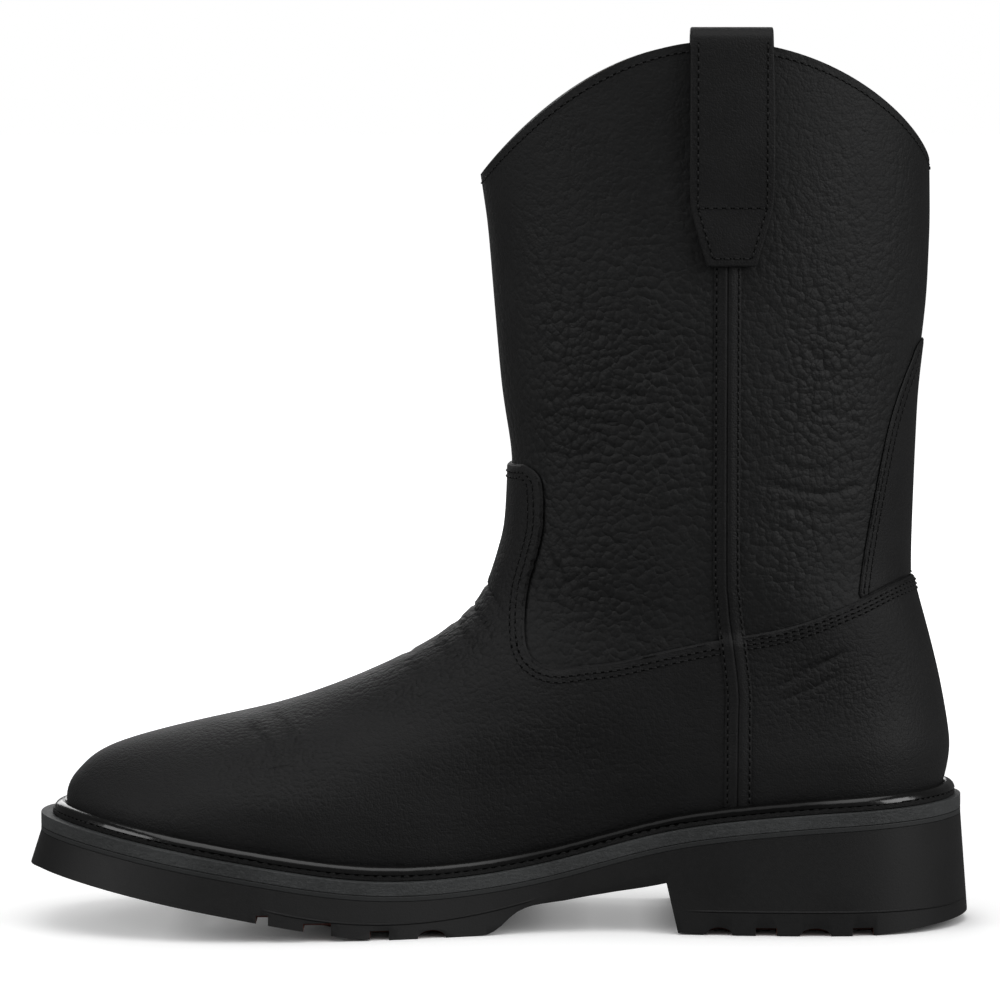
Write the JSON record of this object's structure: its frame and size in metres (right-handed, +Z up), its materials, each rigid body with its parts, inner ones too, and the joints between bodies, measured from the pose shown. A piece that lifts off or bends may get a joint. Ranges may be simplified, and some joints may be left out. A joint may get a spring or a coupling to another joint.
{
  "type": "western work boot",
  "caption": "Pull-on western work boot with a scalloped collar, pull straps, storm welt, grey midsole and a lugged heeled outsole.",
  "frame": {"origin": "on the floor, under the middle of the outsole's length and width", "axes": "+X to the toe, +Y to the inner side of the foot, which is this right boot's own left, +Z up"},
  "size_m": [0.3059, 0.1154, 0.2892],
  "materials": {
    "shaft_leather": "matt black pebbled leather",
    "foot_leather": "matt black oiled leather with a fine grain",
    "outsole_rubber": "satin black rubber",
    "midsole_rubber": "matt charcoal grey rubber",
    "welt_gloss": "glossy black storm welt",
    "lining": "dull dark lining leather"
  },
  "bodies": {
    "root": {"outsole": "outsole_rubber", "slip_sole": "midsole_rubber", "midsole": "midsole_rubber", "welt": "welt_gloss", "insole": "lining", "upper": "shaft_leather", "vamp": "foot_leather", "counter": "foot_leather", "back_stay": "foot_leather", "shaft_seam_inner": "shaft_leather", "shaft_seam_outer": "shaft_leather", "foot_seam_inner": "foot_leather", "foot_seam_outer": "foot_leather", "pull_strap_inner": "foot_leather", "pull_strap_outer": "foot_leather"}
  },
  "joints": []
}
